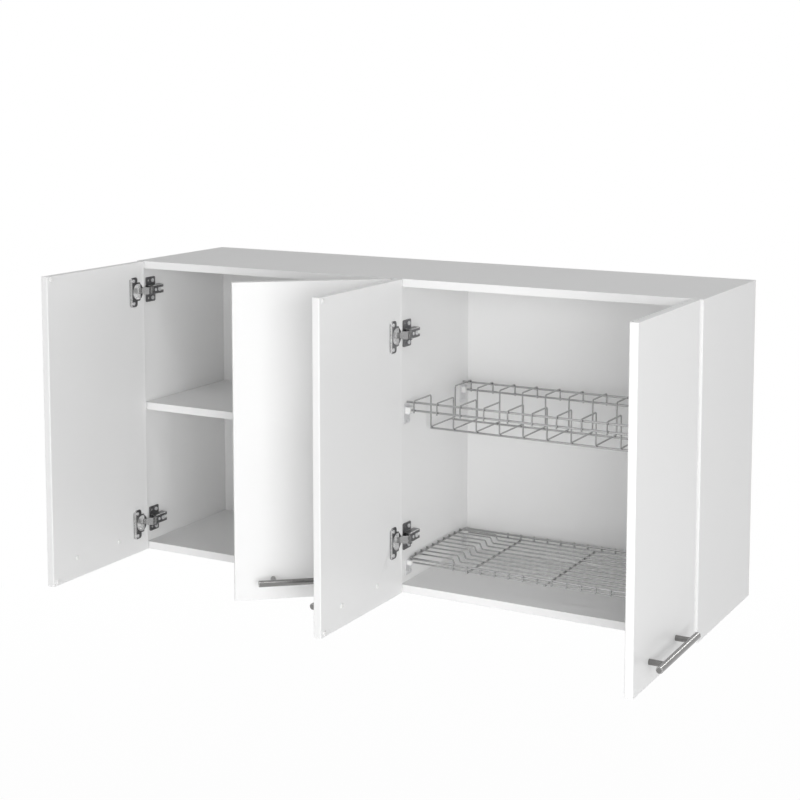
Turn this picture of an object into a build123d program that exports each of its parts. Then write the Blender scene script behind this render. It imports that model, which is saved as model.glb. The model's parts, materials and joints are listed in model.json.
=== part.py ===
from build123d import *
import os

# Case
case_width = 1200.0
case_depth = 300.0
case_height = 600.0
board = 15.0
back_thickness = 3.0
groove_depth = 5.0
groove_play = 0.1
back_edge_play = 0.5
shelf_top_height = 308.0
shelf_side_play = 0.5
shelf_front_setback = 0.5
shelf_back_play = 0.5

# Hanging rails and the wall screw holes in them
rail_height = 60.0
wall_hole_radius = 3.5
wall_hole_inset = 30.0

# Dowels, cam discs and cam bolts
dowel_radius = 4.0
dowel_play = 0.05
dowel_end_play = 0.5
dowel_in_face = 10.0
dowel_in_end = 20.0
rail_dowel_radius = 3.0
rail_dowel_offset = 15.0
dowel_depth_shares = (0.3, 0.7)
cam_depth_shares = (0.12, 0.86)
divider_dowel_depth_shares = (0.2, 0.5, 0.76)
pair_dowel_height_shares = (0.22, 0.5, 0.78)
pair_dowel_depth_shares = (0.3, 0.7)
cam_radius = 7.5
cam_play = 0.1
cam_height = 12.5
cam_inset = 24.0
cam_slot_width = 7.0
cam_drive_width = 1.6
cam_drive_length = 9.0
cam_drive_depth = 2.0
bolt_radius = 2.5
bolt_head_radius = 3.0
bolt_head_length = 2.5
bolt_neck_radius = 1.8
bolt_neck_length = 3.5

# Shelf pins
pin_radius = 2.5
pin_play = 0.05
pin_in_board = 9.0
pin_collar_radius = 3.6
pin_collar_length = 1.0
pin_drop = 4.6
pin_paddle_length = 8.0
pin_paddle_half_width = 3.2
pin_paddle_height = 5.5
pin_depth_shares = (0.16, 0.82)

# Doors, measured in the hinge frame at the corner of the carrying board
door_thickness = 15.0
door_edge_radius = 2.0
door_reveal = 3.0
door_gap = 3.0
door_pair_gap = 3.0
door_end_gap = 0.5
wide_angle = 90.0
second_door_angle = 39.0
bumper_radius = 4.0
bumper_height = 2.9
bumper_inset = 12.0
bumper_end_inset = 7.0

# Handle
bar_radius = 6.0
bar_length = 188.0
bar_chamfer = 1.0
bar_standoff = 28.0
post_radius = 5.0
post_pitch = 128.0
post_screw_depth = 10.0
handle_centre = 160.0
handle_height = 39.0

# Screw sizes: shank radius, length under the head, head radius, head height
plate_screw = (1.8, 13.5, 3.8, 2.0)
arm_screw = (2.5, 13.0, 4.0, 2.0)
adjuster_screw = (2.0, 13.0, 3.0, 1.2)
cup_screw = (1.6, 12.5, 3.4, 1.6)
rack_screw = (1.6, 13.0, 3.2, 1.6)
handle_screw = (2.0, 24.5, 4.2, 2.2)
screw_play = 0.05
cross_width = 0.8
cross_share = 1.3
cross_depth_share = 0.5

# Hinge: distance of its mid-plane from the case's top and underside, outer and inner pair
outer_hinge_inset = 60.0
inner_hinge_inset = 105.0

# Hinge link: arm pivot, door pivot in the closed door, and turn of the link
# for each degree that the door opens
arm_pivot = (16.5, -5.0)
door_pivot_inset = 9.5
door_pivot_depth = 3.15
link_turn_ratio = -0.2
link_thickness = 1.6
link_half_width = 7.3
link_neck_half_width = 5.4
link_neck_length = 6.0
link_corner = (16.0, 3.4)
link_corner_radius = 1.5
link_eye_wall = 1.0
pivot_pin_radius = 1.5
pivot_play = 0.05
arm_pin_radius = 1.7

# Hinge mounting plate
plate_thickness = 2.0
wing_front = -7.0
wing_back = -37.0
wing_half_height = 25.5
wing_corner_radius = 3.0
spine_half_width = 7.6
spine_front = -12.0
spine_back = -46.0
spine_thickness = 6.0
plate_hole_radius = 2.4
plate_hole_depth = -15.0
plate_hole_offset = 18.0
plate_slot_depth = -27.0
plate_slot_length = 8.0

# Hinge arm
arm_web_height = 16.0
arm_thickness = 1.4
arm_half_width = 9.3
arm_back = -47.0
arm_web_front = -12.0
arm_foot_front = -10.0
arm_base_play = 0.2
arm_ear_radius = 3.6
arm_slot_width = 5.4
arm_slot_length = 12.0
arm_screw_depth = -32.0
adjuster_depth = -20.0

# Hinge cup and flange
cup_radius = 17.5
cup_centre = 22.5
cup_depth = 12.4
cup_bore_play = 0.1
cup_wall = 1.2
cup_floor = 1.0
cup_slot_half_width = 5.7
cup_slot_inset = 6.6
cup_cavity_inset = 13.6
cup_pin_half_length = 9.2
flange_thickness = 1.2
flange_start = 25.0
flange_end = 49.0
flange_half_height = 30.0
flange_corner_radius = 6.0
flange_rim_radius = 19.0
flange_rim_start = 16.0
flange_hole_inset = 38.0
flange_hole_offset = 23.0

# Racks
rail_wire_radius = 2.0
cross_wire_radius = 1.5
wire_bend = 4.0
rack_end_play = 1.5
plate_wires = 12
plate_wire_margin = 18.25
plate_front = 22.0
plate_trough_front = 87.0
plate_trough_length = 103.0
plate_back_gap = 43.0
plate_floor_height = 305.0
plate_arm_height = 367.0
plate_lower_rail_height = 348.0
plate_tail_height = 344.0
plate_floor_rail_inset = 6.0
glass_front = 29.0
glass_back_gap = 34.0
glass_wires = 9
glass_high = 62.5
glass_low = 51.5
glass_side_inset = 3.5
glass_corner = 6.0
glass_step_start = 83.0
glass_step_length = 5.0
glass_cross_shares = (0.22, 0.5, 0.78)
glass_ties = 14
glass_tie_margin = 97.8

# Rack brackets and their plastic inserts
bracket_thickness = 1.5
bracket_half_width = 11.0
bracket_lip = 10.0
insert_half_width = 6.5
plate_insert_half_height = 5.5
glass_insert_half_height = 3.6
insert_projection = 9.5
insert_rail_length = 6.0
wire_play = 0.1
rest_play = 0.3
plate_bracket_bottom = 322.0
glass_bracket_bottom = 28.0
bracket_screw_margin = 5.5
bracket_screw_spread = 6.0

# One overrun for every cut
cut = 5.0

half_width = case_width / 2
half_height = case_height / 2
inner_x = half_width - board
inner_z = half_height - board
front_y = -case_depth
groove_x = inner_x + groove_depth
back_front_y = -board - back_thickness
shelf_top = shelf_top_height - half_height
wall_hole_x = inner_x - wall_hole_inset
wall_hole_z = inner_z - rail_height / 2
door_edge_x = door_reveal - board
door_width = half_width / 2 - door_reveal - door_pair_gap / 2
door_height = case_height - 2 * door_end_gap
outer_hinge_height = half_height - outer_hinge_inset
inner_hinge_height = half_height - inner_hinge_inset
door_pivot = (door_edge_x + door_pivot_inset, door_gap + door_pivot_depth)


def block(x, y, z):
    centre = Pos((x[0] + x[1]) / 2, (y[0] + y[1]) / 2, (z[0] + z[1]) / 2)
    return centre * Box(x[1] - x[0], y[1] - y[0], z[1] - z[0])


def rod_x(radius, x, y, z):
    turned = Rotation(0, 90, 0) * Cylinder(radius, x[1] - x[0])
    return Pos((x[0] + x[1]) / 2, y, z) * turned


def rod_y(radius, x, y, z):
    turned = Rotation(90, 0, 0) * Cylinder(radius, y[1] - y[0])
    return Pos(x, (y[0] + y[1]) / 2, z) * turned


def rod_z(radius, x, y, z):
    return Pos(x, y, (z[0] + z[1]) / 2) * Cylinder(radius, z[1] - z[0])


def group(solids):
    return Compound(children=[one for item in solids for one in item.solids()])


def share_of_depth(share):
    return front_y + case_depth * share


# Each fitting is drawn at its place, and its hole is the same shape with some play
dowels = []
cam_discs = []
cam_bolts = []
drilled = {}


def drill(panel, hole):
    drilled.setdefault(panel, []).append(hole)


def dowel_along_x(radius, face_x, outward, y, z, in_face, in_end, face_panel, end_panel):
    reach = sorted((face_x + outward * in_face, face_x - outward * in_end))
    dowels.append(rod_x(radius, reach, y, z))
    hole_reach = (reach[0] - dowel_end_play, reach[1] + dowel_end_play)
    hole = rod_x(radius + dowel_play, hole_reach, y, z)
    drill(face_panel, hole)
    drill(end_panel, hole)


def dowel_along_z(radius, face_z, outward, x, y, in_face, in_end, face_panel, end_panel):
    reach = sorted((face_z + outward * in_face, face_z - outward * in_end))
    dowels.append(rod_z(radius, x, y, reach))
    hole_reach = (reach[0] - dowel_end_play, reach[1] + dowel_end_play)
    hole = rod_z(radius + dowel_play, x, y, hole_reach)
    drill(face_panel, hole)
    drill(end_panel, hole)


# A disc in the flat board's lower face, and a bolt from the side board into it
def cam_joint(side, level, y, side_panel, flat_panel):
    centre_x = side * (inner_x - cam_inset)
    face_z = level * inner_z - (board if level < 0 else 0)
    top_z = face_z + cam_height
    axis_z = face_z + board / 2
    disc = rod_z(cam_radius, centre_x, y, (face_z, top_z))
    slot_x = sorted((centre_x - side * bolt_head_radius, centre_x + side * (cam_radius + cut)))
    slot_z = (axis_z - cam_slot_width / 2, axis_z + cam_slot_width / 2)
    disc -= block(slot_x, (y - cam_slot_width / 2, y + cam_slot_width / 2), slot_z)
    drive_x = (centre_x - cam_drive_length / 2, centre_x + cam_drive_length / 2)
    drive_y = (y - cam_drive_width / 2, y + cam_drive_width / 2)
    disc -= block(drive_x, drive_y, (face_z - cut, face_z + cam_drive_depth))
    cam_discs.append(disc)
    drill(flat_panel, rod_z(cam_radius + cam_play, centre_x, y, (face_z - cut, top_z + cam_play)))

    head_x = (centre_x, centre_x + side * bolt_head_length)
    neck_x = (head_x[1], head_x[1] + side * bolt_neck_length)
    shank_x = (neck_x[1], side * (inner_x + dowel_in_face))
    bolt = rod_x(bolt_head_radius, sorted(head_x), y, axis_z)
    bolt += rod_x(bolt_neck_radius, sorted(neck_x), y, axis_z)
    bolt += rod_x(bolt_radius, sorted(shank_x), y, axis_z)
    cam_bolts.append(bolt)
    hole_x = sorted((centre_x, side * (inner_x + dowel_in_face + dowel_end_play)))
    drill(side_panel, rod_x(bolt_radius + dowel_play, hole_x, y, axis_z))
    path_x = sorted((centre_x, side * (inner_x + dowel_play)))
    drill(flat_panel, rod_x(bolt_head_radius + dowel_play, path_x, y, axis_z))


# Head on top of the origin, shank down along -Z, with a cross in the head
def screw(size):
    shank_radius, length, head_radius, head_height = size
    body = rod_z(shank_radius, 0, 0, (-length, 0))
    body += rod_z(head_radius, 0, 0, (0, head_height))
    half = head_radius / cross_share
    depth = head_height * cross_depth_share
    rim = (head_height - depth, head_height + cut)
    body -= block((-half, half), (-cross_width / 2, cross_width / 2), rim)
    body -= block((-cross_width / 2, cross_width / 2), (-half, half), rim)
    return body


def screw_hole(size):
    return rod_z(size[0] + screw_play, 0, 0, (-size[1] - screw_play, cut))


# Turns that point a screw's head along the named direction
head_to_plus_x = Rotation(0, 90, 0)
head_to_minus_y = Rotation(90, 0, 0)

# Case joints
for side, name in ((-1, "left_side_panel"), (1, "right_side_panel")):
    for level, flat in ((-1, "bottom_panel"), (1, "top_panel")):
        for share in dowel_depth_shares:
            dowel_along_x(dowel_radius, side * inner_x, side, share_of_depth(share),
                          level * (inner_z + board / 2), dowel_in_face, dowel_in_end, name, flat)
        for share in cam_depth_shares:
            cam_joint(side, level, share_of_depth(share), name, flat)

for side, name in ((-1, "divider_left_panel"), (1, "divider_right_panel")):
    for level, flat in ((-1, "bottom_panel"), (1, "top_panel")):
        for share in divider_dowel_depth_shares:
            dowel_along_z(dowel_radius, level * inner_z, level, side * board / 2,
                          share_of_depth(share), dowel_in_face, dowel_in_end, flat, name)

for height_share in pair_dowel_height_shares:
    for depth_share in pair_dowel_depth_shares:
        dowel_along_x(dowel_radius, 0, 1, share_of_depth(depth_share),
                      -inner_z + 2 * inner_z * height_share,
                      dowel_in_face, dowel_in_face, "divider_right_panel", "divider_left_panel")

rail_names = {}
for side, word in ((-1, "left"), (1, "right")):
    for level, place in ((-1, "lower"), (1, "upper")):
        rail_name = "hanging_rail_" + place + "_" + word
        rail_names[rail_name] = (side, level)
        for offset in (-rail_dowel_offset, rail_dowel_offset):
            z = level * wall_hole_z + offset
            dowel_along_x(rail_dowel_radius, side * inner_x, side, -board / 2, z,
                          dowel_in_face, dowel_in_end, word + "_side_panel", rail_name)
            dowel_along_x(rail_dowel_radius, side * board, -side, -board / 2, z,
                          dowel_in_face, dowel_in_end, "divider_" + word + "_panel", rail_name)

# Shelf pins
shelf_pins = []
shelf_bottom = shelf_top - board
for share in pin_depth_shares:
    for face_x, outward, panel in ((-inner_x, -1, "left_side_panel"), (-board, 1, "divider_left_panel")):
        y = share_of_depth(share)
        z = shelf_bottom - pin_drop
        shank = rod_x(pin_radius, sorted((face_x, face_x + outward * pin_in_board)), y, z)
        collar = rod_x(pin_collar_radius, sorted((face_x, face_x - outward * pin_collar_length)), y, z)
        paddle_x = sorted((face_x - outward * pin_collar_length, face_x - outward * pin_paddle_length))
        paddle_y = (y - pin_paddle_half_width, y + pin_paddle_half_width)
        paddle = block(paddle_x, paddle_y, (shelf_bottom - pin_paddle_height, shelf_bottom))
        shelf_pins.append(shank + collar + paddle)
        hole_x = sorted((face_x - outward * pin_play, face_x + outward * (pin_in_board + dowel_end_play)))
        drill(panel, rod_x(pin_radius + pin_play, hole_x, y, z))


# Hinge frame: X from the carrying board's inner face into the compartment,
# Y out of the cabinet's front, Z along the hinge axis, doors closed
def turned_about(shape, pivot, angle):
    return Pos(pivot[0], pivot[1], 0) * Rotation(0, 0, angle) * Pos(-pivot[0], -pivot[1], 0) * shape


def with_link(shape, opening):
    return turned_about(shape, arm_pivot, link_turn_ratio * opening)


def with_door(shape, opening):
    return with_link(turned_about(shape, door_pivot, opening * (1 - link_turn_ratio)), opening)


# Doors on a left-hand board are turned over about X, the others about Z
def in_cabinet(shape, side, board_face_x):
    turn = Rotation(180, 0, 0) if side > 0 else Rotation(0, 0, 180)
    return Pos(board_face_x, front_y, 0) * turn * shape


# Inset from the hinge edge, depth from the inner face towards the outer one
def on_door(inset, depth, z, shape):
    return Pos(door_edge_x + inset, door_gap + depth, z) * shape


# Each screw through the arm's web, with its depth from the case's front
arm_screws = ((arm_screw, arm_screw_depth), (adjuster_screw, adjuster_depth))


def mounting_plate():
    wing_y = (wing_back, wing_front)
    wings = block((0, plate_thickness), wing_y, (-wing_half_height, wing_half_height))
    wings = fillet(wings.edges().filter_by(Axis.X), wing_corner_radius)
    spine = block((0, spine_thickness), (spine_back, spine_front), (-spine_half_width, spine_half_width))
    plate = wings + spine
    for z in (-plate_hole_offset, plate_hole_offset):
        plate -= rod_x(plate_hole_radius, (-cut, plate_thickness + cut), plate_hole_depth, z)
        ends = [plate_slot_depth - plate_slot_length / 2 + plate_hole_radius,
                plate_slot_depth + plate_slot_length / 2 - plate_hole_radius]
        for y in ends:
            plate -= rod_x(plate_hole_radius, (-cut, plate_thickness + cut), y, z)
        plate -= block((-cut, plate_thickness + cut), ends, (z - plate_hole_radius, z + plate_hole_radius))
    for size, y in arm_screws:
        tapped = arm_web_height - size[1]
        plate -= rod_x(size[0] + screw_play, (tapped - screw_play, spine_thickness + cut), y, 0)
    return plate


def arm():
    foot = plate_thickness + arm_base_play
    shell = block((foot, arm_web_height), (arm_back, arm_foot_front), (-arm_half_width, arm_half_width))
    ear_y = (arm_foot_front, arm_pivot[1])
    ear_x = (arm_pivot[0] - arm_ear_radius, arm_pivot[0] + arm_ear_radius)
    shell += block(ear_x, ear_y, (-arm_half_width, arm_half_width))
    shell += rod_z(arm_ear_radius, *arm_pivot, (-arm_half_width, arm_half_width))
    inside = arm_half_width - arm_thickness
    shell -= block((-cut, arm_web_height - arm_thickness), (arm_back - cut, arm_pivot[1] + arm_ear_radius + cut),
                   (-inside, inside))
    shell -= block((-cut, ear_x[1] + cut), (arm_web_front, arm_pivot[1] + arm_ear_radius + cut), (-inside, inside))
    slot_y = (arm_back - cut, arm_back + arm_slot_length)
    shell -= block((-cut, arm_web_height + cut), slot_y, (-arm_slot_width / 2, arm_slot_width / 2))
    web = (arm_web_height - arm_thickness - cut, arm_web_height + cut)
    for size, y in arm_screws:
        shell -= rod_x(size[0] + screw_play, web, y, 0)
    shell -= rod_z(arm_pin_radius + screw_play, *arm_pivot, (-arm_half_width - cut, arm_half_width + cut))
    return shell


# One bent strip with an eye rolled at each end, drawn for the closed door
def link():
    path = FilletPolyline([door_pivot, link_corner, arm_pivot], radius=link_corner_radius + link_thickness)
    strip = trace(path, link_thickness)
    wide = extrude(strip, link_half_width, both=True)
    eye_reach = arm_pin_radius + pivot_play + link_eye_wall
    wide += rod_z(eye_reach, *arm_pivot, (-link_half_width, link_half_width))
    neck_x = (door_pivot[0] - cut, door_pivot[0] + link_neck_length)
    neck_y = (door_gap - cut, door_gap + door_thickness)
    for side in (-1, 1):
        neck_z = sorted((side * link_neck_half_width, side * (link_half_width + cut)))
        wide -= block(neck_x, neck_y, neck_z)
    small_eye = pivot_pin_radius + pivot_play + link_eye_wall
    wide += rod_z(small_eye, *door_pivot, (-link_neck_half_width, link_neck_half_width))
    wide -= rod_z(arm_pin_radius + pivot_play, *arm_pivot, (-link_half_width - cut, link_half_width + cut))
    wide -= rod_z(pivot_pin_radius + pivot_play, *door_pivot, (-link_half_width - cut, link_half_width + cut))
    return wide


# Round cup sunk in the door, with a slot for the link and a flange on the door's face
def cup():
    body = on_door(cup_centre, cup_depth / 2, 0, Rotation(90, 0, 0) * Cylinder(cup_radius, cup_depth))
    cavity = on_door(cup_centre, (cup_depth - cup_floor - cut) / 2, 0,
                     Rotation(90, 0, 0) * Cylinder(cup_radius - cup_wall, cup_depth - cup_floor + cut))
    keep_x = (door_edge_x + cup_cavity_inset, door_edge_x + cup_centre + cup_radius + cut)
    reach_y = (door_gap - cut, door_gap + cup_depth + cut)
    cavity &= block(keep_x, reach_y, (-cup_radius, cup_radius))
    slot_x = (door_edge_x + cup_slot_inset, door_edge_x + cup_centre)
    slot = block(slot_x, (door_gap - cut, door_gap + cup_depth - cup_floor),
                 (-cup_slot_half_width, cup_slot_half_width))

    flange_y = (door_gap - flange_thickness, door_gap)
    flange_x = (door_edge_x + flange_start, door_edge_x + flange_end)
    flange = block(flange_x, flange_y, (-flange_half_height, flange_half_height))
    flange = fillet(flange.edges().filter_by(Axis.Y), flange_corner_radius)
    rim = on_door(cup_centre, -flange_thickness / 2, 0,
                  Rotation(90, 0, 0) * Cylinder(flange_rim_radius, flange_thickness))
    rim_x = (door_edge_x + flange_rim_start, door_edge_x + flange_end)
    flange += rim & block(rim_x, flange_y, (-flange_half_height, flange_half_height))
    body += flange
    body -= cavity
    body -= slot
    for z in (-flange_hole_offset, flange_hole_offset):
        hole_y = (door_gap - flange_thickness - cut, door_gap + cut)
        body -= rod_y(cup_screw[0] + screw_play, door_edge_x + flange_hole_inset, hole_y, z)
    pin_z = (-cup_pin_half_length - pivot_play, cup_pin_half_length + pivot_play)
    body -= rod_z(pivot_pin_radius + screw_play, *door_pivot, pin_z)
    return body


def handle():
    bar = Rotation(0, 90, 0) * Cylinder(bar_radius, bar_length)
    bar = chamfer(bar.edges().filter_by(GeomType.CIRCLE), bar_chamfer)
    whole = on_door(handle_centre, door_thickness + bar_standoff, 0, bar)
    for inset in (handle_centre - post_pitch / 2, handle_centre + post_pitch / 2):
        reach = (door_gap + door_thickness, door_gap + door_thickness + bar_standoff)
        whole += rod_y(post_radius, door_edge_x + inset, reach, 0)
    for inset in (handle_centre - post_pitch / 2, handle_centre + post_pitch / 2):
        reach = (door_gap + door_thickness - cut, door_gap + door_thickness + post_screw_depth)
        whole -= rod_y(handle_screw[0] + screw_play, door_edge_x + inset, reach, 0)
    return whole


def door_panel(hinge_heights, handle_z):
    x = (door_edge_x, door_edge_x + door_width)
    y = (door_gap, door_gap + door_thickness)
    panel = block(x, y, (-door_height / 2, door_height / 2))
    panel = fillet(panel.edges().filter_by(Axis.Z), door_edge_radius)
    for z in hinge_heights:
        bore = Rotation(90, 0, 0) * Cylinder(cup_radius + cup_bore_play, cup_depth + cut)
        panel -= on_door(cup_centre, (cup_depth + cup_bore_play - cut) / 2, z, bore)
        for offset in (-flange_hole_offset, flange_hole_offset):
            at = on_door(flange_hole_inset, -flange_thickness, z + offset, head_to_minus_y * screw_hole(cup_screw))
            panel -= at
    for inset in (handle_centre - post_pitch / 2, handle_centre + post_pitch / 2):
        panel -= rod_y(handle_screw[0] + screw_play, door_edge_x + inset, (-cut, door_gap + door_thickness + cut),
                       handle_z)
    return panel


nodes = {}
hinge_plates = []
hinge_arms = []
hinge_arm_pins = []
hinge_plate_screws = []
hinge_arm_screws = []

# Each door: its hinge side, the face of the board that carries it, hinge heights, board and stored opening
doors = {
    1: (1, -inner_x, outer_hinge_height, "left_side_panel", wide_angle),
    2: (-1, -board, outer_hinge_height, "divider_left_panel", second_door_angle),
    3: (1, board, inner_hinge_height, "divider_right_panel", wide_angle),
    4: (-1, inner_x, inner_hinge_height, "right_side_panel", wide_angle),
}

plate_shape = mounting_plate()
arm_shape = arm()
link_shape = link()
cup_shape = cup()
handle_shape = handle()
for number, (side, face_x, hinge_height, carrier, opening) in doors.items():
    heights = (-hinge_height, hinge_height)
    handle_z = side * (door_height / 2 - handle_height)
    panel = door_panel(heights, handle_z)
    label = "door_" + str(number)
    cups = []
    cup_pins = []
    cup_screws = []
    links = []
    for z in heights:
        lift = Pos(0, 0, z)
        hinge_plates.append(in_cabinet(lift * plate_shape, side, face_x))
        hinge_arms.append(in_cabinet(lift * arm_shape, side, face_x))
        pin = rod_z(arm_pin_radius, *arm_pivot, (-arm_half_width, arm_half_width))
        hinge_arm_pins.append(in_cabinet(lift * pin, side, face_x))
        for size, y in arm_screws:
            fixing = Pos(arm_web_height, y, z) * head_to_plus_x
            hinge_arm_screws.append(in_cabinet(fixing * screw(size), side, face_x))
        for offset in (-plate_hole_offset, plate_hole_offset):
            fixing = Pos(plate_thickness, plate_slot_depth, z + offset) * head_to_plus_x
            hinge_plate_screws.append(in_cabinet(fixing * screw(plate_screw), side, face_x))
            drill(carrier, in_cabinet(fixing * screw_hole(plate_screw), side, face_x))
        cups.append(lift * cup_shape)
        links.append(lift * link_shape)
        pin = rod_z(pivot_pin_radius, *door_pivot, (-cup_pin_half_length, cup_pin_half_length))
        cup_pins.append(lift * pin)
        for offset in (-flange_hole_offset, flange_hole_offset):
            at = on_door(flange_hole_inset, -flange_thickness, z + offset, head_to_minus_y * screw(cup_screw))
            cup_screws.append(at)
    handle_screws = []
    for inset in (handle_centre - post_pitch / 2, handle_centre + post_pitch / 2):
        handle_screws.append(on_door(inset, 0, handle_z, head_to_minus_y * screw(handle_screw)))
    bumpers = []
    for z in (bumper_end_inset - door_height / 2, door_height / 2 - bumper_end_inset):
        centre_y = door_gap - bumper_height / 2
        disc = Rotation(90, 0, 0) * Cylinder(bumper_radius, bumper_height)
        bumpers.append(Pos(door_edge_x + door_width - bumper_inset, centre_y, z) * disc)

    parts_on_door = {
        label: [panel],
        "handle_" + str(number): [Pos(0, 0, handle_z) * handle_shape],
        "handle_" + str(number) + "_screws": handle_screws,
        "hinge_" + str(number) + "_cups": cups,
        "hinge_" + str(number) + "_cup_pins": cup_pins,
        "hinge_" + str(number) + "_cup_screws": cup_screws,
        label + "_bumpers": bumpers,
    }
    for name, shapes in parts_on_door.items():
        nodes[name] = [in_cabinet(with_door(shape, opening), side, face_x) for shape in shapes]
    nodes["hinge_" + str(number) + "_links"] = [in_cabinet(with_link(shape, opening), side, face_x)
                                                for shape in links]

nodes["hinge_plates"] = hinge_plates
nodes["hinge_arms"] = hinge_arms
nodes["hinge_arm_pins"] = hinge_arm_pins
nodes["hinge_plate_screws"] = hinge_plate_screws
nodes["hinge_arm_screws"] = hinge_arm_screws

# Racks: X from the divider's face, heights from the case's underside, depths from its front edges
rack_width = inner_x - board
rack_middle = (inner_x + board) / 2
plate_back = case_depth - plate_back_gap
plate_trough_back = plate_trough_front + plate_trough_length
plate_wire_pitch = (rack_width - 2 * plate_wire_margin) / (plate_wires - 1)
glass_back = case_depth - glass_back_gap
glass_tie_pitch = (rack_width - 2 * glass_tie_margin) / (glass_ties - 1)


def depth(value):
    return front_y + value


def height(value):
    return value - half_height


def bent_wire(points, radius):
    path = FilletPolyline(points, radius=wire_bend)
    return sweep(Plane(path @ 0, z_dir=path % 0) * Circle(radius), path)


weld = rail_wire_radius + cross_wire_radius
plate_rack = []
upper_rail_height = plate_arm_height - weld
first_wire = rack_middle - plate_wire_pitch * (plate_wires - 1) / 2
for index in range(plate_wires):
    x = first_wire + plate_wire_pitch * index
    front_tail = depth(plate_front - weld)
    back_tail = depth(plate_back + weld)
    points = [
        (x, front_tail, height(plate_tail_height)),
        (x, front_tail, height(plate_arm_height)),
        (x, depth(plate_trough_front), height(plate_arm_height)),
        (x, depth(plate_trough_front), height(plate_floor_height)),
        (x, depth(plate_trough_back), height(plate_floor_height)),
        (x, depth(plate_trough_back), height(plate_arm_height)),
        (x, back_tail, height(plate_arm_height)),
        (x, back_tail, height(plate_tail_height)),
    ]
    plate_rack.append(bent_wire(points, cross_wire_radius))
upper_x = (board + rack_end_play, inner_x - rack_end_play)
held = bracket_thickness + insert_projection - insert_rail_length
lower_x = (board + held, inner_x - held)
floor_x = (first_wire - weld, rack_middle * 2 - first_wire + weld)
for y in (plate_front, plate_back):
    plate_rack.append(rod_x(rail_wire_radius, upper_x, depth(y), height(upper_rail_height)))
    plate_rack.append(rod_x(rail_wire_radius, lower_x, depth(y), height(plate_lower_rail_height)))
for y in (plate_trough_front + plate_floor_rail_inset, plate_trough_back - plate_floor_rail_inset):
    plate_rack.append(rod_x(rail_wire_radius, floor_x, depth(y), height(plate_floor_height - weld)))

glass_rack = []
side_x = (board + glass_side_inset, inner_x - glass_side_inset)
front_and_back = (depth(glass_front), depth(glass_back))
frame_z = height(glass_high - weld)
frame_edge = RectangleRounded(side_x[1] - side_x[0], glass_back - glass_front, glass_corner).face().outer_wire()
frame_path = Pos(rack_middle, sum(front_and_back) / 2, frame_z) * frame_edge
glass_rack.append(sweep(Plane(frame_path @ 0, z_dir=frame_path % 0) * Circle(rail_wire_radius), frame_path))
glass_pitch = (glass_back - glass_front) / (glass_wires + 1)
for index in range(glass_wires):
    y = depth(glass_front + glass_pitch * (index + 1))
    points = [
        (side_x[0] - cross_wire_radius, y, height(glass_high)),
        (board + glass_step_start, y, height(glass_high)),
        (board + glass_step_start + glass_step_length, y, height(glass_low)),
        (inner_x - glass_step_start - glass_step_length, y, height(glass_low)),
        (inner_x - glass_step_start, y, height(glass_high)),
        (side_x[1] + cross_wire_radius, y, height(glass_high)),
    ]
    glass_rack.append(bent_wire(points, cross_wire_radius))
for y in front_and_back:
    glass_rack.append(rod_x(cross_wire_radius, lower_x, y, height(glass_low)))
for share in glass_cross_shares:
    x = board + rack_width * share
    reach = (front_and_back[0] - rail_wire_radius, front_and_back[1] + rail_wire_radius)
    glass_rack.append(rod_y(rail_wire_radius, x, reach, height(glass_low - weld)))
tie_z = (height(glass_low) - cross_wire_radius, frame_z + rail_wire_radius)
first_tie = rack_middle - glass_tie_pitch * (glass_ties - 1) / 2
for index in range(glass_ties):
    x = first_tie + glass_tie_pitch * index
    glass_rack.append(rod_z(cross_wire_radius, x, front_and_back[0] - weld, tie_z))
    glass_rack.append(rod_z(cross_wire_radius, x, front_and_back[1] + weld, tie_z))

# Rack brackets: a plate with two lips on the board, and a plastic insert that grips the lower wire,
# drawn on the divider's face and turned over for the right-hand board
rack_brackets = []
bracket_inserts = []
rack_screws = []


def bracket(y, bottom, top, wire_z, wire_radius, grip, side, panel):
    def placed(shape):
        flip = Rotation(0, 0, 180) if side > 0 else Rotation(0, 0, 0)
        face = inner_x if side > 0 else board
        return Pos(face, y, 0) * flip * shape

    plate = block((0, bracket_thickness), (-bracket_half_width, bracket_half_width), (bottom, top))
    lip_x = (0, bracket_lip)
    for z in (wire_z - grip - bracket_thickness, wire_z + grip):
        plate += block(lip_x, (-insert_half_width, insert_half_width), (z, z + bracket_thickness))
    insert = block((bracket_thickness, bracket_thickness + insert_projection),
                   (-insert_half_width, insert_half_width),
                   (wire_z - grip, wire_z + grip))
    wire_x = (bracket_thickness + insert_projection - insert_rail_length - wire_play,
              bracket_thickness + insert_projection + cut)
    insert -= rod_x(wire_radius + wire_play, wire_x, 0, wire_z)
    for offset in (-bracket_screw_spread, bracket_screw_spread):
        fixing = Pos(bracket_thickness, offset, bottom + bracket_screw_margin) * head_to_plus_x
        plate -= fixing * screw_hole(rack_screw)
        rack_screws.append(placed(fixing * screw(rack_screw)))
        drill(panel, placed(fixing * screw_hole(rack_screw)))
    rack_brackets.append(placed(plate))
    bracket_inserts.append(placed(insert))


for side, panel in ((-1, "divider_right_panel"), (1, "right_side_panel")):
    for y in (plate_front, plate_back):
        top = height(upper_rail_height - rail_wire_radius - rest_play)
        bracket(depth(y), height(plate_bracket_bottom), top, height(plate_lower_rail_height),
                rail_wire_radius, plate_insert_half_height, side, panel)
    for y in (glass_front, glass_back):
        top = frame_z - rail_wire_radius - rest_play
        bracket(depth(y), height(glass_bracket_bottom), top, height(glass_low),
                cross_wire_radius, glass_insert_half_height, side, panel)

nodes["plate_rack"] = plate_rack
nodes["glass_rack"] = glass_rack
nodes["rack_brackets"] = rack_brackets
nodes["rack_bracket_inserts"] = bracket_inserts
nodes["rack_screws"] = rack_screws

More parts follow.
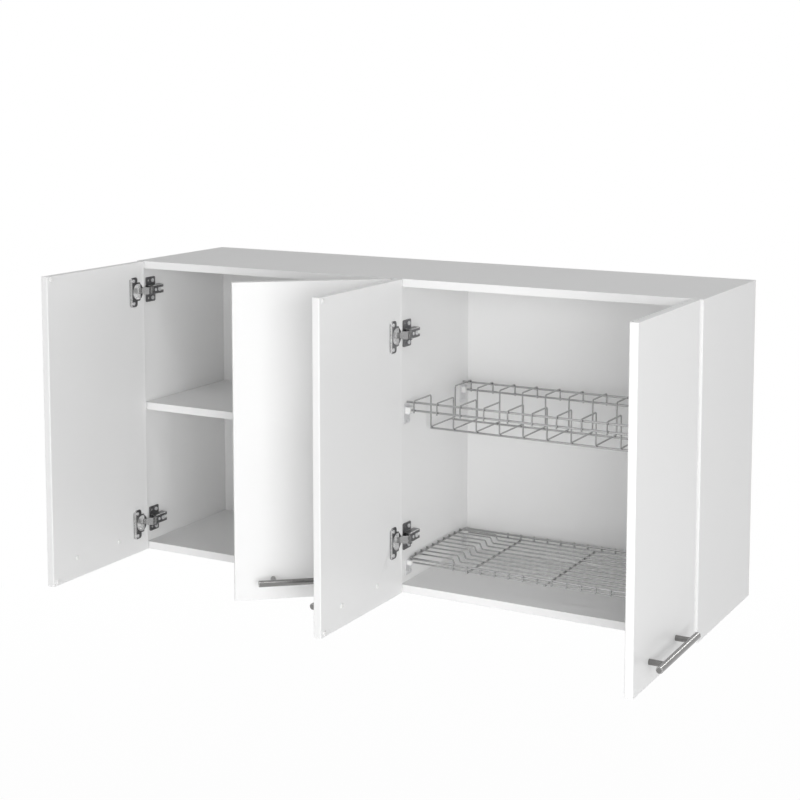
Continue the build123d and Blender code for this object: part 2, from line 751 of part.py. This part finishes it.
# Boards
full_depth = (front_y, 0)
groove_y = (back_front_y - groove_play, -board)
groove_z = (-inner_z - groove_depth, inner_z + groove_depth)
panels = {
    "left_side_panel": block((-half_width, -inner_x), full_depth, (-half_height, half_height)),
    "right_side_panel": block((inner_x, half_width), full_depth, (-half_height, half_height)),
    "bottom_panel": block((-inner_x, inner_x), full_depth, (-half_height, -inner_z)),
    "top_panel": block((-inner_x, inner_x), full_depth, (inner_z, half_height)),
    "divider_left_panel": block((-board, 0), full_depth, (-inner_z, inner_z)),
    "divider_right_panel": block((0, board), full_depth, (-inner_z, inner_z)),
}
for name, (side, level) in rail_names.items():
    x = sorted((side * board, side * inner_x))
    z = sorted((level * inner_z, level * (inner_z - rail_height)))
    panels[name] = block(x, (-board, 0), z)
    drill(name, rod_y(wall_hole_radius, side * wall_hole_x, (-board - cut, cut), level * wall_hole_z))

for side, word in ((-1, "left"), (1, "right")):
    groove_reach = sorted((side * (board - groove_depth), side * groove_x))
    groove = block(groove_reach, groove_y, groove_z)
    for name in (word + "_side_panel", "divider_" + word + "_panel", "bottom_panel", "top_panel"):
        drill(name, groove)
    back_x = sorted((side * (board - groove_depth + back_edge_play), side * (groove_x - back_edge_play)))
    back_z = (groove_z[0] + back_edge_play, groove_z[1] - back_edge_play)
    back = block(back_x, (back_front_y, -board), back_z)
    for level in (-1, 1):
        back -= rod_y(wall_hole_radius, side * wall_hole_x, (back_front_y - cut, cut), level * wall_hole_z)
    nodes["back_panel_" + word] = [back]

for name, panel in panels.items():
    for hole in drilled[name]:
        panel -= hole
    nodes[name] = [panel]

shelf_x = (-inner_x + shelf_side_play, -board - shelf_side_play)
shelf_y = (front_y + shelf_front_setback, back_front_y - shelf_back_play)
nodes["shelf"] = [block(shelf_x, shelf_y, (shelf_bottom, shelf_top))]
nodes["shelf_pins"] = shelf_pins
nodes["carcass_dowels"] = dowels
nodes["cam_discs"] = cam_discs
nodes["cam_bolts"] = cam_bolts

os.makedirs("parts", exist_ok=True)
for name, solids in nodes.items():
    export_step(group(solids), os.path.join("parts", name + ".step"))
    print(name, len(solids))
print(len(nodes), "nodes")
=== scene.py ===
import bpy
import json
from math import radians
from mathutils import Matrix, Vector

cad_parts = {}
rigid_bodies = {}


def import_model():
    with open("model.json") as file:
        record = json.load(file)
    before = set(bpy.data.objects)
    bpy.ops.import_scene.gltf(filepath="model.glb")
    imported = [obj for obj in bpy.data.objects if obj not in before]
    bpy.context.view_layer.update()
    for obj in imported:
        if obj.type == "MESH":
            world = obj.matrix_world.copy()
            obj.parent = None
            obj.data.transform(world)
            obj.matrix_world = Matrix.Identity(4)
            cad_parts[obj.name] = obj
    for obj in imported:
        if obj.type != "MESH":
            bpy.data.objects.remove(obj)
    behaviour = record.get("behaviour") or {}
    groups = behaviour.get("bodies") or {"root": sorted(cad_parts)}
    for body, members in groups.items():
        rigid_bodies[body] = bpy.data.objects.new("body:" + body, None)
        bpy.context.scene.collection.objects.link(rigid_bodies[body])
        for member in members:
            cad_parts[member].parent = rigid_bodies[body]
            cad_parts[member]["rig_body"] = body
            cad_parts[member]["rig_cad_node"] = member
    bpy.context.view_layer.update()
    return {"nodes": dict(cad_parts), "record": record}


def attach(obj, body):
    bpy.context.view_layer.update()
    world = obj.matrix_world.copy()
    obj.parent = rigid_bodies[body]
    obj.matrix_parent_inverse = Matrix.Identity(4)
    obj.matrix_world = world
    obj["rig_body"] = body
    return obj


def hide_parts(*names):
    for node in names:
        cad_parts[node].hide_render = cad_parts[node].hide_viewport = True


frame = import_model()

nodes = frame["nodes"]
print("stage: frame loaded,", len(nodes), "nodes")


# One socket with arithmetic, so that shader maths reads as maths
class Value:
    def __init__(self, tree, socket):
        self.tree = tree
        self.socket = socket

    def math(self, operation, other, swapped=False, clamp=False):
        node = self.tree.nodes.new("ShaderNodeMath")
        node.operation = operation
        node.use_clamp = clamp
        pair = (other, self) if swapped else (self, other)
        for slot, item in zip(node.inputs, pair):
            if isinstance(item, Value):
                self.tree.links.new(item.socket, slot)
            else:
                slot.default_value = item
        return Value(self.tree, node.outputs[0])

    def __add__(self, other):
        return self.math("ADD", other)

    __radd__ = __add__

    def __sub__(self, other):
        return self.math("SUBTRACT", other)

    def __rsub__(self, other):
        return self.math("SUBTRACT", other, swapped=True)

    def __mul__(self, other):
        return self.math("MULTIPLY", other)

    def __truediv__(self, other):
        return self.math("DIVIDE", other)

    def __pow__(self, other):
        return self.math("POWER", other)

    def __gt__(self, other):
        return self.math("GREATER_THAN", other)

    def clamped(self):
        return self.math("ADD", 0.0, clamp=True)


# A node tree being built, with one way to add any node
class Shading:
    def __init__(self, tree, output):
        self.tree = tree
        self.tree.nodes.clear()
        self.output = self.tree.nodes.new("ShaderNode" + output)

    def add(self, kind, settings=None, sockets=None, out=0):
        node = self.tree.nodes.new("ShaderNode" + kind)
        for key, setting in (settings or {}).items():
            if key == "stops":
                for element, (position, colour) in zip(node.color_ramp.elements, setting):
                    element.position = position
                    element.color = (*colour, 1)
            else:
                setattr(node, key, setting)
        for key, item in (sockets or {}).items():
            socket = node.inputs[key]
            if isinstance(item, Value):
                self.tree.links.new(item.socket, socket)
            elif socket.type == "RGBA":
                socket.default_value = (*item, 1)
            else:
                socket.default_value = item
        return Value(self.tree, node.outputs[out])

    def axis(self, vector, letter):
        return self.add("SeparateXYZ", sockets={"Vector": vector}, out=letter)

    def surface(self, shader):
        self.tree.links.new(shader.socket, self.output.inputs["Surface"])


# A material being built
class Finish(Shading):
    def __init__(self, name):
        self.material = bpy.data.materials.new(name)
        self.material.use_nodes = True
        super().__init__(self.material.node_tree, "OutputMaterial")

    def place(self):
        return self.add("TexCoord", out="Object")

    def stretched(self, vector, scale, turn=(0, 0, 0)):
        return self.add("Mapping", sockets={"Vector": vector, "Rotation": turn, "Scale": scale})

    def noise(self, vector, scale, detail=2.0, roughness=0.5):
        return self.add("TexNoise", sockets={"Vector": vector, "Scale": scale, "Detail": detail,
                                             "Roughness": roughness}, out="Fac")

    def blend(self, factor, first, second):
        return self.add("Mix", {"data_type": "RGBA"}, {0: factor, 6: first, 7: second}, out=2)

    def bump(self, height, distance):
        return self.add("Bump", sockets={"Height": height, "Distance": distance, "Strength": 1.0})

    def shine(self, **sockets):
        named = {key.replace("_", " "): item for key, item in sockets.items()}
        self.surface(self.add("BsdfPrincipled", sockets=named))
        return self.material


def tinted(colour, share):
    return tuple(channel * share for channel in colour)


boards = {
    "face": (0.865, 0.865, 0.862),
    "faceShade": (0.845, 0.846, 0.846),
    "cloudScale": 3.5,
    "roughness": 0.42,
    "roughVary": 0.06,
    "peelScale": 900.0,
    "peelHeight": 0.000025,
    "chipScale": 420.0,
    "chipLight": (0.56, 0.42, 0.27),
    "chipDark": (0.26, 0.17, 0.10),
    "darkUnder": 0.34,        # noise level where the dark chips end
    "lightOver": 0.62,        # and where the light ones begin
    "chipHeight": 6.0,        # in peel heights
    "rawRoughness": 0.4,      # a bare face is rougher by this
    "hardboard": (0.30, 0.19, 0.11),
    "mottleScale": 160.0,
    "mottleDark": 0.72,
}


# White melamine over chipboard. Further back than rawFrom the board is bare: the core's chips, or rawColour.
def whiteBoard(name, rawFrom=None, rawColour=None, tint=1.0, gloss=0.0):
    finish = Finish(name)
    place = finish.place()
    cloud = finish.noise(place, boards["cloudScale"], 3.0)
    height = finish.noise(place, boards["peelScale"], 1.0)
    colour = finish.blend(cloud, tinted(boards["face"], tint), tinted(boards["faceShade"], tint))
    rough = boards["roughness"] - gloss + cloud * boards["roughVary"]
    if rawFrom is not None:
        raw = finish.axis(place, "Y") > rawFrom
        chips = finish.noise(place, boards["chipScale"], 6.0, 0.75)
        if rawColour:
            mottle = finish.noise(place, boards["mottleScale"], 5.0, 0.7)
            bare = finish.blend(mottle, rawColour, tinted(rawColour, boards["mottleDark"]))
        else:
            stops = [(boards["darkUnder"], boards["chipDark"]), (boards["lightOver"], boards["chipLight"])]
            bare = finish.add("ValToRGB", {"stops": stops}, {"Fac": chips})
        colour = finish.blend(raw, colour, bare)
        rough = rough + raw * boards["rawRoughness"]
        height = height * (1 - raw) + chips * raw * boards["chipHeight"]
    return finish.shine(Base_Color=colour, Roughness=rough, Normal=finish.bump(height, boards["peelHeight"]))


metals = {
    "nickel": {"colour": (0.22, 0.218, 0.225), "roughness": 0.28},
    "linkNickel": {"colour": (0.36, 0.36, 0.36), "roughness": 0.24},
    # painted highlight: a light copy of the nickel, for edges, bends and faces that should look lit
    "highlightMetal": {"colour": (0.87, 0.87, 0.87), "roughness": 0.24, "metallic": 0.55},
    "chrome": {"colour": (0.50, 0.50, 0.50), "roughness": 0.18},
    "satin": {"colour": (0.26, 0.257, 0.253), "roughness": 0.17, "vary": 0.3},
    "zinc": {"colour": (0.82, 0.82, 0.83), "roughness": 0.40, "metallic": 0.5},
}
metalGrain = {
    "cloudScale": 60.0,
    "fineScale": 1400.0,
    "dull": 0.86,             # share of the metal's colour in the darker clouds
    "polish": 0.05,           # taken off the roughness, and the next two vary it
    "cloudVary": 0.10,
    "fineVary": 0.06,
    "depth": 0.000004,
}


def metal(name, kind, brush=None, turn=(0, 0, 0), depth=metalGrain["depth"]):
    finish = Finish(name)
    look = metals[kind]
    place = finish.place()
    cloud = finish.noise(place, metalGrain["cloudScale"], 4.0)
    grainPlace = finish.stretched(place, brush, turn) if brush else place
    fine = finish.noise(grainPlace, metalGrain["fineScale"], 2.0)
    colour = finish.blend(cloud, look["colour"], tinted(look["colour"], metalGrain["dull"]))
    vary = look.get("vary", 1.0)
    rough = look["roughness"] - metalGrain["polish"] * vary + cloud * (metalGrain["cloudVary"] * vary)
    rough = rough + fine * (metalGrain["fineVary"] * vary)
    return finish.shine(Base_Color=colour, Roughness=rough, Metallic=look.get("metallic", 1.0),
                        Normal=finish.bump(fine, depth))


plastics = {
    "moulding": {"colour": (0.88, 0.88, 0.87), "roughness": 0.4},
    "gel": {"colour": (0.87, 0.87, 0.862), "roughness": 0.3},      # clear, so it shows the door's white
    "cloudScale": 90.0,
    "cloudShade": 0.95,
    "roughVary": 0.08,
    "grainScale": 1800.0,
    "grainHeight": 0.00001,
}


def plastic(name, kind):
    finish = Finish(name)
    look = plastics[kind]
    place = finish.place()
    cloud = finish.noise(place, plastics["cloudScale"], 3.0)
    grain = finish.noise(place, plastics["grainScale"], 1.0)
    colour = finish.blend(cloud, look["colour"], tinted(look["colour"], plastics["cloudShade"]))
    return finish.shine(Base_Color=colour, Roughness=look["roughness"] + cloud * plastics["roughVary"],
                        Normal=finish.bump(grain, plastics["grainHeight"]))


beechWood = {
    "light": (0.62, 0.45, 0.28),
    "dark": (0.48, 0.32, 0.18),
    "stretch": (0.15, 1.0, 1.0),
    "ringScale": 500.0,
    "ringHeight": 0.00005,
    "roughness": 0.7,
}


def beech(name):
    finish = Finish(name)
    rings = finish.noise(finish.stretched(finish.place(), beechWood["stretch"]), beechWood["ringScale"], 4.0)
    return finish.shine(Base_Color=finish.blend(rings, beechWood["light"], beechWood["dark"]),
                        Roughness=beechWood["roughness"], Normal=finish.bump(rings, beechWood["ringHeight"]))


caseBoard = whiteBoard("case_board", rawFrom=-0.0006)
railBoard = whiteBoard("rail_board")
doorBoard = whiteBoard("door_board", tint=1.015, gloss=0.08)
backBoard = whiteBoard("back_board", rawFrom=-0.0152, rawColour=boards["hardboard"], tint=0.985)
nickel = metal("nickel_plate", "nickel")
linkNickel = metal("link_nickel", "linkNickel")
# the light metal that paints highlights on the steel
paintedHighlight = metal("bright_edge", "highlightMetal")
chromeWire = metal("chrome_wire", "chrome")
zincCast = metal("zinc_cast", "zinc")
whiteMoulding = plastic("white_moulding", "moulding")
bumperGel = plastic("bumper_gel", "gel")
dowelWood = beech("dowel_wood")
print("stage: finishes made")

slotFinish = {
    "white_board": caseBoard, "white_back_board": backBoard, "white_door_board": doorBoard,
    "beech": dowelWood, "zinc": zincCast, "nickel_steel": nickel, "chromed_wire": chromeWire,
    "white_plastic": whiteMoulding, "clear_plastic": bumperGel,
}
handles = {
    "turns": {"1": 0.0, "2": 51.0, "3": 0.0, "4": 0.0},      # degrees each lies off the depth direction
    "brush": (1.0, 0.03, 1.0),
    "brushDepth": 0.000001,
}
for number, turn in handles["turns"].items():
    satin = "satin_steel_" + number
    slotFinish[satin] = metal(satin, "satin", handles["brush"], (0, 0, radians(turn)), handles["brushDepth"])
nodeSlot = {part["node"]: part["material_slot"] for part in frame["record"]["subparts"]}
nodeBody = {name: body for body, names in frame["record"]["behaviour"]["bodies"].items() for name in names}


def finishOf(name):
    slot = nodeSlot[name]
    if name.startswith("hanging_rail"):
        return railBoard                             # faced all round, unlike the panels' rear edges
    if name.endswith("_links"):
        return linkNickel
    if name.startswith("handle") and name.endswith("screws"):
        return whiteMoulding                         # the white of cover caps, which aren't modelled
    if name.endswith("screws") or name == "rack_brackets":
        return zincCast
    return slotFinish[slot + "_" + name.split("_")[1] if slot == "satin_steel" else slot]


for name, node in nodes.items():
    node.data.materials.clear()
    node.data.materials.append(finishOf(name))
print("stage: finishes on the frame")

edges = {
    "mergeWithin": 0.000002,
    "flatWithin": 0.8,        # this and the next three in degrees
    "anyShape": 180.0,
    "sharpFrom": 40.0,
    "smoothUnder": 32.0,
    "outlineLeast": 0.012,    # a board's shorter edges are the rims of its holes
    "straightWithin": 0.0001,
    "sideNormal": 0.9,        # a link's flat sides face up or down by at least this
    "segments": 2,
    "normalWeight": 100,
}


def deselect():
    bpy.ops.object.select_all(action="DESELECT")


def applied(piece, kind, **settings):
    deselect()
    piece.select_set(True)
    bpy.context.view_layer.objects.active = piece
    bpy.ops.object.modifier_add(type=kind)
    modifier = piece.modifiers[-1]
    for key, setting in settings.items():
        setattr(modifier, key, setting)
    bpy.ops.object.modifier_apply(modifier=modifier.name)


def bevelled(piece, width, material=-1):
    applied(piece, "BEVEL", width=width, segments=edges["segments"], limit_method="ANGLE",
            angle_limit=radians(edges["sharpFrom"]), material=material)


# A joined-up copy of a CAD node, so that its edges can be worked
def copyOf(name):
    deselect()
    nodes[name].select_set(True)
    bpy.context.view_layer.objects.active = nodes[name]
    bpy.ops.object.duplicate(linked=False)
    piece = bpy.context.active_object
    piece.name = name + "_dressed"
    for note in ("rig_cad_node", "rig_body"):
        del piece[note]
    piece.parent = None
    bpy.ops.object.mode_set(mode="EDIT")
    bpy.ops.mesh.select_all(action="SELECT")
    bpy.ops.mesh.remove_doubles(threshold=edges["mergeWithin"])
    bpy.ops.mesh.normals_make_consistent(inside=False)
    flat = radians(edges["flatWithin"])
    if name.startswith("door"):
        bpy.ops.mesh.tris_convert_to_quads(face_threshold=flat, shape_threshold=radians(edges["anyShape"]))
    else:
        bpy.ops.mesh.dissolve_limited(angle_limit=flat)
    bpy.ops.object.mode_set(mode="OBJECT")
    return piece


def standFor(piece, name):
    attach(piece, nodeBody[name])
    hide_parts(name)


# The sharp edges of a piece that the rule picks by their two ends, rounded
def roundEdges(piece, rule, radius, segments, material=-1):
    bpy.ops.object.mode_set(mode="EDIT")
    bpy.ops.mesh.select_mode(type="EDGE")
    bpy.ops.mesh.select_all(action="DESELECT")
    bpy.ops.mesh.edges_select_sharp(sharpness=radians(edges["sharpFrom"]))
    bpy.ops.object.mode_set(mode="OBJECT")
    points = piece.data.vertices
    for edge in piece.data.edges:
        one, two = (points[index].co for index in edge.vertices)
        edge.select = edge.select and rule(one, two)
    bpy.ops.object.mode_set(mode="EDIT")
    bpy.ops.mesh.bevel(offset=radius, segments=segments, affect="EDGES", material=material,
                       clamp_overlap=False)
    bpy.ops.mesh.select_mode(type="VERT")
    bpy.ops.object.mode_set(mode="OBJECT")


# Face of the board that carries a door's hinges, way into the compartment, and their height off the middle
hinges = {
    "door_1": (-0.585, 1, 0.24),
    "door_2": (-0.015, -1, 0.24),
    "door_3": (0.015, 1, 0.195),
    "door_4": (0.585, -1, 0.195),
}


arms = {
    "flankOut": 0.009,        # the bent edges lie further than this from the arm's middle
    "leastLength": 0.015,     # and are longer than this
    "bendRadius": 0.0012,
    "bendSegments": 3,
}


# The two bent edges along an arm
def armBend(one, two):
    along = two - one
    out = min(abs(abs(one.z) - height) for boardX, side, height in hinges.values())
    straight = abs(along.x) + abs(along.z) < edges["straightWithin"]
    return abs(along.y) > arms["leastLength"] and straight and out > arms["flankOut"]


# The outline of a board, without the rims of its holes
def boardOutline(one, two):
    return (two - one).length > edges["outlineLeast"]


# Painted highlight: the second material of a piece, the light metal, on the faces that the rule picks
def paintHighlight(piece, rule):
    for face in piece.data.polygons:
        if rule(face):
            face.material_index = 1


# Painted highlight: the links' flat sides, facing up or down, take the light metal
def linkHighlightSide(face):
    return abs(face.normal.z) > edges["sideNormal"]


cups = {
    "insideHeight": 0.0118,   # faces lower than this over the underside of the cup's floor are its inside
    "flangeHeight": 0.0136,   # top of the flange over the same floor
    "heightPlay": 0.0003,
    "taperWidth": 0.0075,     # strip along the flange's free edge that falls away
    "taperPlay": 0.0002,
    "taperDrop": 0.0008,
    "paintedShadowRim": 0.0004,        # outermost part of that strip, left in the darker nickel as a painted shadow line
}


# Way out of the door, way to the flange's free edge and level of the cups' floors, from their largest face
def cupAxes(piece):
    floor = max(piece.data.polygons, key=lambda face: face.area)
    outward = -floor.normal
    along = outward.cross(Vector((0, 0, 1)))
    if along.y > 0:
        along = -along
    return outward, along, floor.center.dot(outward)


def freeEdge(piece, along):
    return max(point.co.dot(along) for point in piece.data.vertices)


# The flange's free edge pressed down a little, as on a stamped cup
def taperFlange(piece):
    outward, along, level = cupAxes(piece)
    edge = freeEdge(piece, along)
    bpy.ops.object.mode_set(mode="EDIT")
    bpy.ops.mesh.select_all(action="SELECT")
    bpy.ops.mesh.bisect(plane_co=along * (edge - cups["taperWidth"]), plane_no=along)
    bpy.ops.mesh.select_mode(type="VERT")
    bpy.ops.mesh.select_all(action="DESELECT")
    bpy.ops.object.mode_set(mode="OBJECT")
    top = cups["flangeHeight"] - cups["heightPlay"]
    for point in piece.data.vertices:
        out = edge - point.co.dot(along)
        if out < cups["taperWidth"] - cups["taperPlay"] and point.co.dot(outward) - level > top:
            point.co -= outward * cups["taperDrop"] * (1 - out / cups["taperWidth"])


# Painted light: the inside of the cup, a recess, and the pressed strip of its flange take the light metal as
# painted highlight
def cupHighlight(piece):
    outward, along, level = cupAxes(piece)
    edge = freeEdge(piece, along)

    def rule(face):
        height = face.center.dot(outward) - level
        out = edge - face.center.dot(along)
        return height < cups["insideHeight"] or cups["paintedShadowRim"] < out < cups["taperWidth"]
    return rule


# Edge radius in metres of every piece that is worked. N stands for a door's number.
softEdges = {
    "left_side_panel": 0.0004, "right_side_panel": 0.0004, "top_panel": 0.0004, "bottom_panel": 0.0004,
    "divider_left_panel": 0.0004, "divider_right_panel": 0.0004, "shelf": 0.0005,
    "hinge_plates": 0.0003, "hinge_arms": 0.0003, "hinge_plate_screws": 0.0002, "hinge_arm_screws": 0.0002,
    "rack_brackets": 0.0003, "rack_bracket_inserts": 0.0004, "rack_screws": 0.0002,
}
doorEdges = {
    "door_N": 0.0006, "hinge_N_links": 0.0006, "hinge_N_cups": 0.0003, "hinge_N_cup_screws": 0.0002,
    "handle_N": 0.0002,
}
for number in ("1", "2", "3", "4"):
    for name, width in doorEdges.items():
        softEdges[name.replace("N", number)] = width
for name, width in softEdges.items():
    piece = copyOf(name)
    steel = name.startswith(("hinge", "handle", "rack_brackets"))
    cup = name.endswith("_cups")
    # steel pieces get the painted highlight metal as a second material
    if steel:
        piece.data.materials.append(paintedHighlight)
    # the arms' two bends are rounded in the painted highlight metal
    if name == "hinge_arms":
        roundEdges(piece, armBend, arms["bendRadius"], arms["bendSegments"], material=1)
    if cup:
        taperFlange(piece)
    # the rounded edges of steel pieces other than the cups take the painted highlight
    if name.startswith(("hinge", "handle", "rack")):
        bevelled(piece, width, material=1 if steel and not cup else -1)
    else:
        roundEdges(piece, boardOutline, width, edges["segments"])
    # painted highlight inside the cup and on its flange strip
    if cup:
        paintHighlight(piece, cupHighlight(piece))
    # painted highlight on the links' flat sides
    if name.endswith("_links"):
        paintHighlight(piece, linkHighlightSide)
    bpy.ops.object.shade_smooth_by_angle(angle=radians(edges["smoothUnder"]))
    applied(piece, "WEIGHTED_NORMAL", weight=edges["normalWeight"], keep_sharp=True)
    standFor(piece, name)
print("stage: edges softened")

bosses = {
    "sides": 20,
    "radius": 0.0023,
    "edge": 0.0003,
    "stretch": 0.0016,        # half the run of the slot between its round ends
    "top": 0.0015,            # from the board's face, just under the plate's
    "foot": 0.0002,
    "depth": -0.273,
    "offset": 0.018,
}


# One boss in the painted highlight metal, as long as the slot of the hinge plate that it fills, so that the
# shaded slot shows painted light
def slotHighlightBoss(boardX, side, z):
    height = bosses["top"] - bosses["foot"]
    middle = boardX + side * (bosses["top"] + bosses["foot"]) / 2
    deselect()
    bpy.ops.mesh.primitive_cylinder_add(vertices=bosses["sides"], radius=bosses["radius"], depth=height,
                                        location=(middle, bosses["depth"], z), rotation=(0, radians(90), 0))
    boss = bpy.context.active_object
    bpy.ops.object.transform_apply(location=True, rotation=True, scale=True)
    for way in (-1, 1):
        bpy.ops.object.mode_set(mode="EDIT")
        bpy.ops.mesh.select_mode(type="VERT")
        bpy.ops.mesh.select_all(action="DESELECT")
        bpy.ops.object.mode_set(mode="OBJECT")
        for point in boss.data.vertices:
            point.select = way * (point.co.y - bosses["depth"]) > edges["straightWithin"]
        bpy.ops.object.mode_set(mode="EDIT")
        bpy.ops.transform.translate(value=(0, way * bosses["stretch"], 0))
        bpy.ops.object.mode_set(mode="OBJECT")
    bevelled(boss, bosses["edge"])
    bpy.ops.object.shade_smooth_by_angle(angle=radians(edges["smoothUnder"]))
    return boss


pressed = [slotHighlightBoss(boardX, side, up * height + lift)
           for boardX, side, height in hinges.values() for up in (-1, 1)
           for lift in (-bosses["offset"], bosses["offset"])]
deselect()
for boss in pressed:
    boss.select_set(True)
bpy.context.view_layer.objects.active = pressed[0]
bpy.ops.object.join()
slotHighlightBosses = bpy.context.active_object
slotHighlightBosses.name = "hinge_plate_highlight_bosses"
bpy.ops.object.origin_set(type="ORIGIN_CURSOR")
# the bosses are painted highlight in the shaded slots
slotHighlightBosses.data.materials.append(paintedHighlight)
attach(slotHighlightBosses, "case")
print("stage: plate bosses pressed")

lamps = {
    "key": {"size": (2.0, 2.0), "place": (2.8, -3.6, 0.3), "power": 91.0, "mirrored": False},
    "fill": {"size": (3.0, 3.0), "place": (0.2, -4.2, -0.2), "power": 29.0, "mirrored": False},
    "strip": {"size": (0.7, 0.22), "place": (1.14, -1.42, 2.28), "power": 6.0, "mirrored": True},
    "bar": {"size": (0.12, 0.8), "place": (1.06, 2.21, 1.02), "power": 4.5, "mirrored": True},
}


def softLamp(name, size, place, power, mirrored):
    bpy.ops.object.light_add(type="AREA", location=place)
    lamp = bpy.context.active_object
    lamp.name = name
    lamp.data.shape = "RECTANGLE"
    lamp.data.size, lamp.data.size_y = size
    lamp.data.energy = power
    lamp.visible_glossy = mirrored
    lamp.rotation_euler = lamp.location.to_track_quat("Z", "Y").to_euler()


for name, lamp in lamps.items():
    softLamp(name + "_lamp", **lamp)

studio = {
    "floorHeight": -1.7,       # as far down as under a wall cabinet
    "floorSize": 60.0,
    "floorPaint": 0.9,
    "floorGlow": 0.97,         # share of plain white near the object, where the shadow lies
    "fadeFrom": 1.6,
    "fadeLength": 3.0,
    "around": 0.59,            # light from all sides
    "lessAbove": 0.37,         # and less of it from above
}


# 1 where the camera, a reflection or a refraction looks, and 0 where light is gathered
def lookedAt(shading):
    rays = [shading.add("LightPath", out=name)
            for name in ("Is Camera Ray", "Is Glossy Ray", "Is Transmission Ray")]
    return (rays[0] + rays[1] + rays[2]).clamped()


bpy.ops.mesh.primitive_plane_add(size=studio["floorSize"], location=(0, 0, studio["floorHeight"]))
floor = bpy.context.active_object
floor.name = "studio_floor"
ground = Finish("studio_white")
spot = ground.place()
far = (ground.axis(spot, "X") ** 2.0 + ground.axis(spot, "Y") ** 2.0) ** 0.5
fade = ((far - studio["fadeFrom"]) / studio["fadeLength"]).clamped()
white = fade * (1.0 - studio["floorGlow"]) + studio["floorGlow"]
paint = ground.add("BsdfDiffuse", sockets={"Color": (studio["floorPaint"],) * 3})
glow = ground.add("Emission", sockets={"Color": (1.0, 1.0, 1.0), "Strength": 1.0})
ground.surface(ground.add("MixShader", sockets={0: lookedAt(ground) * white, 1: paint, 2: glow}))
floor.data.materials.append(ground.material)

world = bpy.data.worlds.new("studio_world")
bpy.context.scene.world = world
world.use_nodes = True
sky = Shading(world.node_tree, "OutputWorld")
above = sky.axis(sky.add("TexCoord", out="Generated"), "Z").math("MAXIMUM", 0.0)
lit = studio["around"] - above * studio["lessAbove"]
seen = lookedAt(sky)
sky.surface(sky.add("Background", sockets={"Color": (1.0, 1.0, 1.0), "Strength": seen + (1.0 - seen) * lit}))

camera = {
    "place": (1.4733, -2.9483, 0.6793),
    "turn": (84.0, 0.0, 28.866),
    "lens": 73.618,
    "shift": -0.1928,
    "farthest": 100.0,
}
bpy.ops.object.camera_add(location=camera["place"], rotation=[radians(angle) for angle in camera["turn"]])
viewer = bpy.context.active_object
viewer.data.lens = camera["lens"]
viewer.data.shift_y = camera["shift"]
viewer.data.clip_end = camera["farthest"]
bpy.context.scene.camera = viewer
bpy.context.scene.view_settings.view_transform = "Standard"
print("stage: studio and camera set")
